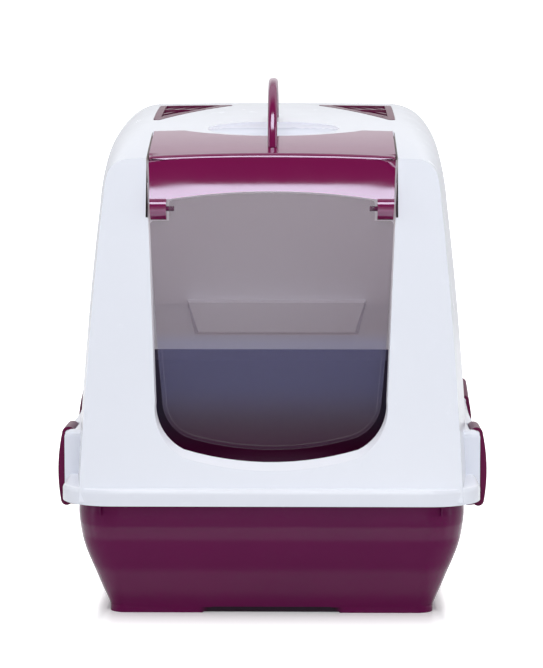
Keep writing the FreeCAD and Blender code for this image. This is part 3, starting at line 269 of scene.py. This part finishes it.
class Finish:
    """One material, or the world behind the scene, built node by node."""

    def __init__(self, name, world=False):
        self.owner = (bpy.data.worlds if world else bpy.data.materials).new(name)
        self.owner.use_nodes = True
        self.tree = self.owner.node_tree
        self.tree.nodes.clear()
        end = "ShaderNodeOutputWorld" if world else "ShaderNodeOutputMaterial"
        self.output = self.tree.nodes.new(end)

    def node(self, kind, settings=None, inputs=None, result=0):
        """Adds a node: its settings first, then its sockets, by value or by link."""
        made = self.tree.nodes.new(kind)
        for key, value in (settings or {}).items():
            setattr(made, key, value)
        for key, value in (inputs or {}).items():
            if isinstance(value, Value):
                self.tree.links.new(value.socket, made.inputs[key])
            else:
                made.inputs[key].default_value = value
        return Value(self, made.outputs[result])

    def position(self):
        """The place on the piece, which stays with it when the piece moves."""
        return self.node("ShaderNodeTexCoord", result="Object")

    def along(self, axis):
        """The position along X, Y or Z, for axis 0, 1 or 2."""
        return self.node("ShaderNodeSeparateXYZ", {}, {"Vector": self.position()}, result=axis)

    def step(self, value, low, high):
        """0 below low, 1 above high, a smooth ramp between."""
        return self.node("ShaderNodeMapRange", {"interpolation_type": "SMOOTHSTEP"}, {
            "Value": value, "From Min": low, "From Max": high, "To Min": 0.0, "To Max": 1.0})

    def band(self, value, rise, fall):
        """A step up between the two values of rise, times a step down between those of fall."""
        return self.step(value, *rise) * (1 - self.step(value, *fall))

    def noise(self, scale, detail=2.0, roughness=0.5):
        return self.node("ShaderNodeTexNoise", {}, {
            "Vector": self.position(), "Scale": scale, "Detail": detail, "Roughness": roughness})

    def surface(self, shader):
        self.tree.links.new(shader.socket, self.output.inputs["Surface"])
        return self.owner


def mix_colour(finish, factor, first, second):
    """Blends two colours: inputs 6 and 7 of the Mix node, and its output 2, are for colours."""
    blend = {0: factor, 6: first, 7: second}
    return finish.node("ShaderNodeMix", {"data_type": "RGBA"}, blend, result=2)


print("shader helpers:", Value.__name__, Finish.__name__, mix_colour.__name__)

# %% [markdown]
# ## Moulded plastic
#
# The tray, visor, handle, latches and vent covers are plum polypropylene; the hood is the same
# plastic in white. Such a surface is smooth but not a mirror: the mould leaves a very fine grain,
# the wall sinks and swells by hundredths of a millimetre, and the colour drifts a little with the
# flow of the melt. Grain and waviness go into a Bump node, the drift into the base colour, and the
# wear of handling into the roughness.
#
# Some places differ from the rest of their piece: two polished bands round the tray, and places
# where light or shade is painted into the colour. The inside of a wall takes a painted glow in the
# white hood and a painted reflection in the tray, and the notch in the tray's foot and the narrow
# slot beside the visor take painted shade. Each could be a piece or a texture of its own. A mask
# is chosen, a number between 0 and 1 that is worked out from the place on the piece, because it
# has no seam and stays sharp at any distance.

# %% Masks that the plastics share
REFLECTION_HEIGHTS = (0.090, 0.150)             # the painted reflection on the tray's inner faces comes in between these heights
NOTCH_TOP = (0.0050, 0.0060)       # the notch in the foot ends between these heights
NOTCH_SIDE = (0.062, 0.072)        # and between these distances from the middle
UPPER_BAND = ((0.074, 0.080), (0.088, 0.092))      # heights at which a polished band comes in
LOWER_BAND = ((0.012, 0.026), (0.040, 0.050))      # and goes out
VISOR_HALF = 0.1226                # half the width of the visor
GAP_EDGE = 0.1244                  # where the hood starts beside it, a little up its rounded rim
GAP_SIDES = ((VISOR_HALF - 0.0006, VISOR_HALF), (GAP_EDGE, GAP_EDGE + 0.0003))
EAR_TOP = (0.3870, 0.3880)         # the slot beside the visor starts above the ears
VISOR_END = (-0.060, -0.052)       # and ends on the roof, where the visor does


def facing_in(finish):
    """1 on the faces that look towards the middle of the box."""
    return finish.node("ShaderNodeAttribute", {"attribute_name": "inside"}, result="Fac")


def reflection_height(finish):
    """Painted reflection, strongest high on the tray's rear wall, nothing below the front rim."""
    return finish.step(finish.along(2), *REFLECTION_HEIGHTS)


def notch_shade_mask(finish):
    """1 in the notch at the middle of the foot, front and back, where shade is painted."""
    low = 1 - finish.step(finish.along(2), *NOTCH_TOP)
    middle = 1 - finish.step(finish.along(0).absolute(), *NOTCH_SIDE)
    return low * middle


def polished_bands(finish):
    """Two level bands round the outside of the tray, where the mould is polished brighter."""
    height = finish.along(2)
    bands = finish.band(height, *UPPER_BAND) + finish.band(height, *LOWER_BAND)
    return bands * (1 - facing_in(finish))


def visor_gap_shade(finish):
    """1 in the slot at each side of the visor, from its ears up to the roof, where shade is
    painted.
    """
    slot = finish.band(finish.along(0).absolute(), *GAP_SIDES)
    high = finish.step(finish.along(2), *EAR_TOP)
    ahead = 1 - finish.step(finish.along(1), *VISOR_END)
    return slot * high * ahead


print("the slot beside the visor is", round(1000 * (GAP_EDGE - VISOR_HALF), 2), "mm wide")

# %% Plastic finishes
CLOUD_WEAR = 0.06            # how much the roughness changes over a few centimetres
SPECK_WEAR = 0.03            # and from speck to speck of the grain
PAINTED_GLOW_HEIGHT = 0.30           # at this height, the painted glow of the inner faces has its middle level
PAINTED_GLOW_LEVEL = 0.62
PAINTED_GLOW_RISE = 3.2              # and gains this much for each metre above it
PAINTED_GLOW_RANGE = (0.45, 1.15)    # but stays between these


def moulded_plastic(name, colour, shade, roughness, index, sheen_tone=(1, 1, 1, 1),
                    grain=0.00002, painted_glow=None, painted_reflection=None, gap_shade=None, notch_shade=None, bands=0.0):
    """Polypropylene: colour drifts towards shade, roughness wanders, fine grain over soft waves.

    A thin white wall lets some of the room's light through, and more of it towards the roof.
    Of the four colours after grain, the first paints that light as a glow that the faces looking
    inwards emit, brighter towards the roof. The second is a cooler painted reflection that such
    faces of the tray take under the white hood. The third is painted shade in the slot beside the
    visor, which is too narrow for light to reach its floor, and the fourth painted shade in the low
    notch in the foot.
    Bands is the clear coat of the polished bands. Index and sheen tone set how bright the plastic
    mirrors, and in which tint.
    """
    finish = Finish(name)
    drift = finish.noise(scale=9.0, detail=3.0)
    cloud = finish.noise(scale=38.0, detail=4.0, roughness=0.6)
    speck = finish.noise(scale=1900.0, detail=2.0, roughness=0.7)
    # Noise seldom leaves its middle range, so it is stretched to reach both colours.
    tone = mix_colour(finish, (drift * 1.6 - 0.3).clamp(0.0, 1.0), colour, shade)
    # Painted reflection: a cooler tone on the tray's inner faces, high on its walls.
    if painted_reflection:
        tone = mix_colour(finish, facing_in(finish) * reflection_height(finish), tone, painted_reflection)
    # Painted shade in the slot beside the visor, too narrow for light to reach its floor.
    if gap_shade:
        tone = mix_colour(finish, visor_gap_shade(finish), tone, gap_shade)
    # Painted shade in the low notch of the foot.
    if notch_shade:
        tone = mix_colour(finish, notch_shade_mask(finish), tone, notch_shade)
    smoothest = roughness - (CLOUD_WEAR + SPECK_WEAR) / 2
    wander = (cloud * CLOUD_WEAR + speck * SPECK_WEAR + smoothest).clamp(0.04, 1.0)
    wave = finish.node("ShaderNodeBump", {}, {
        "Height": finish.noise(scale=14.0, detail=1.0), "Strength": 0.25, "Distance": 0.0006})
    fine = finish.node("ShaderNodeBump", {}, {
        "Height": speck, "Strength": 0.3, "Distance": grain, "Normal": wave})
    shader = finish.node("ShaderNodeBsdfPrincipled", {}, {
        "Base Color": tone, "Roughness": wander, "Normal": fine, "IOR": index,
        "Specular Tint": sheen_tone, "Coat Roughness": 0.06})
    sockets = shader.socket.node.inputs
    # Painted glow: the inner faces emit light, more towards the roof, standing in for light through
    # the wall.
    if painted_glow:
        climb = (finish.along(2) - PAINTED_GLOW_HEIGHT) * PAINTED_GLOW_RISE + PAINTED_GLOW_LEVEL
        share = facing_in(finish) * climb.clamp(*PAINTED_GLOW_RANGE)
        glow = mix_colour(finish, share, (0, 0, 0, 1), painted_glow)
        finish.tree.links.new(glow.socket, sockets["Emission Color"])
        sockets["Emission Strength"].default_value = 1.0
    if bands:
        polish = polished_bands(finish) * bands
        finish.tree.links.new(polish.socket, sockets["Coat Weight"])
    return finish.surface(shader)


# The tray takes a painted reflection on its inner faces and painted shade in the notch of its foot.
TRAY_PLUM = moulded_plastic(
    "tray_plum", (0.122, 0.0030, 0.058, 1), (0.106, 0.0027, 0.052, 1), roughness=0.22, index=1.27,
    sheen_tone=(0.85, 0.72, 1.0, 1), painted_reflection=(0.075, 0.066, 0.110, 1),
    notch_shade=(0.016, 0.004, 0.010, 1), bands=0.30)
GLOSS_PLUM = moulded_plastic(
    "gloss_plum", (0.190, 0.0055, 0.070, 1), (0.172, 0.0050, 0.064, 1), roughness=0.12, index=1.95,
    sheen_tone=(0.80, 0.81, 1.0, 1))
SATIN_PLUM = moulded_plastic(
    "satin_plum", (0.125, 0.0032, 0.050, 1), (0.112, 0.0030, 0.045, 1), roughness=0.30, index=1.22)
# The hood takes a painted glow on its inner faces and painted shade in the slot beside the visor.
WHITE = moulded_plastic(
    "white_polypropylene", (0.80, 0.83, 0.91, 1), (0.785, 0.815, 0.90, 1), roughness=0.26,
    index=1.5, painted_glow=(0.175, 0.155, 0.150, 1), gap_shade=(0.012, 0.004, 0.008, 1))
print("plastics:", [plastic.name for plastic in (TRAY_PLUM, GLOSS_PLUM, SATIN_PLUM, WHITE)])

# %% [markdown]
# ## Smoked door flap
#
# The flap is a thin sheet of clear plastic with a grey-brown smoke in it. Refraction hardly shows
# in a sheet this thin, so it is made as a surface that lets most light straight through: Alpha says
# how much it blocks, and the base colour is the haze that it adds. Low down the base colour also
# carries a painted bluish reflection, and along the lower edge it is darker.

# %% Smoke finish
BLUE_REFLECTION_HEIGHTS = ((0.165, 0.225), (0.262, 0.274))       # heights at which the painted bluish reflection comes and goes
FLAP_FOOT = (0.13, 0.075, 0.13, 1)                 # the haze is darker along the lower edge
FOOT_END = (0.162, 0.215)                          # and fades into the rest at these heights


def smoked_pane(name, haze, blocked, roughness, blue_reflection=None):
    """Blocked: share of light that stops. A bluish colour is a painted reflection low down."""
    finish = Finish(name)
    scuff = finish.noise(scale=60.0, detail=5.0, roughness=0.7)
    deeper = tuple(channel * 0.9 for channel in haze[:3]) + (1,)
    tone = mix_colour(finish, scuff, haze, deeper)
    if blue_reflection:
        height = finish.along(2)
        # Painted reflection: a bluish band over the lower part of the flap.
        tone = mix_colour(finish, finish.band(height, *BLUE_REFLECTION_HEIGHTS), tone, blue_reflection)
        # The haze is darker along the lower edge.
        tone = mix_colour(finish, 1 - finish.step(height, *FOOT_END), tone, FLAP_FOOT)
    shader = finish.node("ShaderNodeBsdfPrincipled", {}, {
        "Base Color": tone,
        "Roughness": (scuff * 0.06 + (roughness - 0.03)).clamp(0.02, 1.0),
        "Alpha": blocked, "IOR": 1.45})
    return finish.surface(shader)


# The flap takes a painted bluish reflection over its lower part.
SMOKE = smoked_pane("smoked_pane", (0.23, 0.16, 0.22, 1), blocked=0.22, roughness=0.10,
                    blue_reflection=(0.20, 0.20, 0.40, 1))
# The flap's rounded rims take a pale, nearly solid finish: a painted highlight.
PANE_EDGE_HIGHLIGHT = smoked_pane("pane_edge_highlight", (0.72, 0.66, 0.69, 1), blocked=0.85, roughness=0.12)
print("panes:", SMOKE.name, PANE_EDGE_HIGHLIGHT.name)

# %% [markdown]
# ## Carbon felt and zinc screws
#
# The filter pads under the vents are black needle felt: no gloss, and a fibrous relief at the scale
# of a millimetre. The screws are bright zinc with a faintly brushed grain. Both are small and lie
# deep in the box, so noise stands for the fibres and the grain.

# %% Felt and metal finishes
def carbon_felt(name):
    """Two dark greys in clumps, under a relief of fine fibres."""
    finish = Finish(name)
    fibre = finish.noise(scale=900.0, detail=6.0, roughness=0.8)
    clump = finish.noise(scale=160.0, detail=3.0)
    tone = mix_colour(finish, clump, (0.020, 0.020, 0.022, 1), (0.045, 0.044, 0.046, 1))
    relief = finish.node("ShaderNodeBump", {}, {
        "Height": fibre, "Strength": 0.9, "Distance": 0.0005})
    shader = finish.node("ShaderNodeBsdfPrincipled", {}, {
        "Base Color": tone, "Roughness": 0.95, "Normal": relief})
    return finish.surface(shader)


def zinc_plate(name):
    """A metal whose roughness wanders with a fine noise."""
    finish = Finish(name)
    brush = finish.noise(scale=700.0, detail=4.0, roughness=0.6)
    shader = finish.node("ShaderNodeBsdfPrincipled", {}, {
        "Base Color": (0.62, 0.63, 0.64, 1), "Metallic": 1.0,
        "Roughness": (brush * 0.2 + 0.22).clamp(0.1, 1.0)})
    return finish.surface(shader)


FELT = carbon_felt("carbon_felt")
ZINC = zinc_plate("zinc_plate")
print("other finishes:", FELT.name, ZINC.name)

# %% [markdown]
# ## Dressing the pieces
#
# Pieces that come in pairs or fours are dressed alike, so a finish is looked up by how the name of
# the piece starts. The visor's ridge is a wide, soft fold and not a rim, so it takes a rounding of
# its own. A clear sheet gathers light and lets it out at its edges, and for that the rounded rims
# of the flap take a second, paler finish, a painted highlight.

# %% Dress every piece
FINISHES = {        # how a name starts: its finish, its slot in the record, its rim's rounding
    "tray": (TRAY_PLUM, "plum", 0.0007),
    "hood_shell": (WHITE, "white", 0.0025),
    "front_visor": (GLOSS_PLUM, "plum", 0.0009),
    "door_flap": (SMOKE, "smoke", 0.0007),
    "carry_handle": (GLOSS_PLUM, "plum", 0.0008),
    "filter_frame": (WHITE, "white", 0.0003),
    "carbon_filter": (FELT, "filter", 0.0),
    "visor_screws": (ZINC, "screws", 0.0002),
    "handle_screws": (ZINC, "screws", 0.0002),
    "latch": (SATIN_PLUM, "plum", 0.0005),
    "vent_cover": (SATIN_PLUM, "plum", 0.0004),
    "flap_pin": (TRAY_PLUM, "plum", 0.0003),
}
SOFTNESS = {"hood_shell": hood_softness, "front_visor": visor_softness}
RIDGE_ROUNDING = {"front_visor": 0.0038}
for name in sorted(NODES):
    kind = next(key for key in FINISHES if name.startswith(key))
    finish, slot, rounding = FINISHES[kind]
    piece = moulded_copy(name, rounding, RIDGE_ROUNDING.get(name, 0.0),
                         SOFTNESS.get(name, even_softness))
    piece.data.materials.append(finish)
    if kind == "door_flap":
        # The rounded rims of the flap take the painted edge highlight.
        piece.data.materials.append(PANE_EDGE_HIGHLIGHT)
        piece.modifiers["rim rounding"].material = 1

# %% [markdown]
# ## Studio
#
# The box stands on a white sweep, a floor that turns up into a wall. Its background is pure white,
# while the light on the box itself stays at a plain level. The sweep and the world look at Light
# Path for this: rays from the camera, from glossy surfaces and through clear ones see the extra
# white, and diffuse rays don't, so the background lights nothing. The end of the room where the
# camera stands is dark, as in a real studio, and gloss shows that too.

# %% Floor and world
CAMERA_GLOW = 0.80           # extra white of the sweep to the camera, on top of its lit colour
MIRROR_GLOW = 0.45           # the same to glossy rays, where lit colour and glow together make 1
ROOM_LIGHT = 0.38            # the room as it lights the box
DARK_END = 0.02              # the camera's end of the room as it mirrors in the plastic
DARK_TO_WHITE = (-0.10, 0.35)     # y of the direction between which that end turns white
FOOT_HALF = (0.165, 0.20)    # half the width and half the length of the box at the floor
SIDE_HASTE = 8.0             # beside the box the shadow gives way this many times sooner
SHADOW_CORE = (-0.02, 0.0)   # distances from the foot at which the glow starts
SHADOW_FADE = (0.0, 0.11)    # and at which it grows to the full
SHADOW_GLOW = 0.25           # from this share


def looking_rays(finish):
    """Two masks: rays of the camera, and rays that glossy surfaces or clear ones send on."""
    camera = finish.node("ShaderNodeLightPath", result="Is Camera Ray")
    outputs = camera.socket.node.outputs
    glossy = Value(finish, outputs["Is Glossy Ray"])
    through = Value(finish, outputs["Is Transmission Ray"])
    return camera, glossy.larger(through)


def sweep_finish():
    """Matt white with a glow for looking rays.

    The glow fades out near the foot of the box, so that the floor keeps the shadow there.
    """
    finish = Finish("white_sweep")
    camera, mirrored = looking_rays(finish)
    beside = (finish.along(0).absolute() - FOOT_HALF[0]) * SIDE_HASTE
    away = beside.larger(finish.along(1).absolute() - FOOT_HALF[1])
    growth = finish.step(away, *SHADOW_FADE) * (1 - SHADOW_GLOW) + SHADOW_GLOW
    clear = finish.step(away, *SHADOW_CORE) * growth
    floor = finish.node("ShaderNodeBsdfPrincipled", {}, {
        "Base Color": (0.86, 0.86, 0.88, 1), "Roughness": 0.3})
    strength = (camera * CAMERA_GLOW).larger(mirrored * MIRROR_GLOW) * clear
    glow = finish.node("ShaderNodeEmission", {}, {"Color": (1, 1, 1, 1), "Strength": strength})
    return finish.surface(finish.node("ShaderNodeAddShader", {}, {0: floor, 1: glow}))


def white_sweep():
    """A floor that turns up into a wall: a quarter circle between two straight runs, along X."""
    reach, radius, half_width = 3.0, 1.2, 8.0
    turn = np.linspace(0.0, math.pi / 2, 17)
    run = np.concatenate([[-6.0], reach + radius * np.sin(turn), [reach + radius]])
    rise = np.concatenate([[0.0], radius * (1 - np.cos(turn)), [6.0]])
    left = np.stack([np.full_like(run, -half_width), run, rise], axis=1)
    right = left * (-1, 1, 1)
    count = len(run)
    faces = [(i, i + count, i + count + 1, i + 1) for i in range(count - 1)]
    mesh = bpy.data.meshes.new("sweep")
    mesh.from_pydata(np.concatenate([left, right]).tolist(), [], faces)
    mesh.materials.append(sweep_finish())
    floor_object = bpy.data.objects.new("sweep", mesh)
    bpy.context.scene.collection.objects.link(floor_object)
    return floor_object


def room():
    """The world: white to looking rays, except that gloss sees the camera's end of it dark."""
    finish = Finish("room", world=True)
    camera, mirrored = looking_rays(finish)
    way = finish.node("ShaderNodeTexCoord", result="Generated")
    backwards = finish.node("ShaderNodeSeparateXYZ", {}, {"Vector": way}, result=1)
    in_gloss = finish.step(backwards, *DARK_TO_WHITE) * (1 - DARK_END) + DARK_END
    unlooked = (1 - camera) * (1 - mirrored)
    strength = camera + mirrored * in_gloss * (1 - camera) + unlooked * ROOM_LIGHT
    light = finish.node("ShaderNodeBackground", {}, {"Color": (1, 1, 1, 1), "Strength": strength})
    return finish.surface(light)


backdrop = white_sweep()
bpy.context.scene.world = room()
print("studio:", backdrop.name, "with", len(backdrop.data.polygons), "faces, in a",
      bpy.context.scene.world.name)

# %% [markdown]
# ## Lamps
#
# Large soft lamps make the broad, soft-edged highlights of moulded plastic; small ones would make
# hard dots. One hangs above and ahead, one stands in front, one at each side, and two behind light
# the back of the box.

# %% Lamps
def softbox(name, place, aim, width, height, power):
    """An area lamp at a place, turned to look at aim."""
    lamp = bpy.data.lights.new(name, "AREA")
    lamp.shape = "RECTANGLE"
    lamp.size = width
    lamp.size_y = height
    lamp.energy = power
    holder = bpy.data.objects.new(name, lamp)
    holder.location = place
    holder.rotation_euler = (Vector(aim) - Vector(place)).to_track_quat("-Z", "Y").to_euler()
    bpy.context.scene.collection.objects.link(holder)
    print(name, power, "W")
    return holder


CENTRE = (0.0, -0.1, 0.30)
softbox("ceiling_box", (0.0, -1.23, 2.34), (0.0, -0.17, 0.41), 1.2, 0.9, 24)
softbox("back_wall_box", (0.0, 2.4, 1.7), (0.0, 0.0, 0.45), 3.0, 1.0, 4)
softbox("front_box", (0.3, -3.4, 0.9), CENTRE, 1.6, 0.9, 20)
rear_light = softbox("back_low_box", (0.0, 3.0, 0.9), CENTRE, 1.8, 0.9, 12)
rear_light.visible_glossy = False      # the roof would mirror it at a flat angle
softbox("left_box", (-2.3, -0.5, 0.9), CENTRE, 0.5, 1.8, 9)
softbox("right_box", (2.3, -0.5, 0.9), CENTRE, 0.5, 1.8, 9)

# %% [markdown]
# ## Camera
#
# A long lens from the front, a little above the roof, so that the two sides recede evenly and the
# roof shows as a narrow strip.

# %% Camera
LENS = 130.34
SENSOR = 36.0
CAMERA_DISTANCE = 2.30          # in front of the flange
CAMERA_HEIGHT = 0.4938
CAMERA_RIGHT = 0.033
PITCH_DOWN = math.radians(5.312)
YAW_LEFT = math.radians(0.80)
front = cad_box[0][1]
lens = bpy.data.cameras.new("camera")
lens.lens = LENS
lens.sensor_width = SENSOR
lens.clip_end = 100.0
camera = bpy.data.objects.new("camera", lens)
camera.location = (CAMERA_RIGHT, front - CAMERA_DISTANCE, CAMERA_HEIGHT)
camera.rotation_euler = (math.pi / 2 - PITCH_DOWN, 0.0, YAW_LEFT)
bpy.context.scene.collection.objects.link(camera)
bpy.context.scene.camera = camera
bpy.context.scene.view_settings.view_transform = "Standard"
print("camera at", tuple(round(place, 3) for place in camera.location))
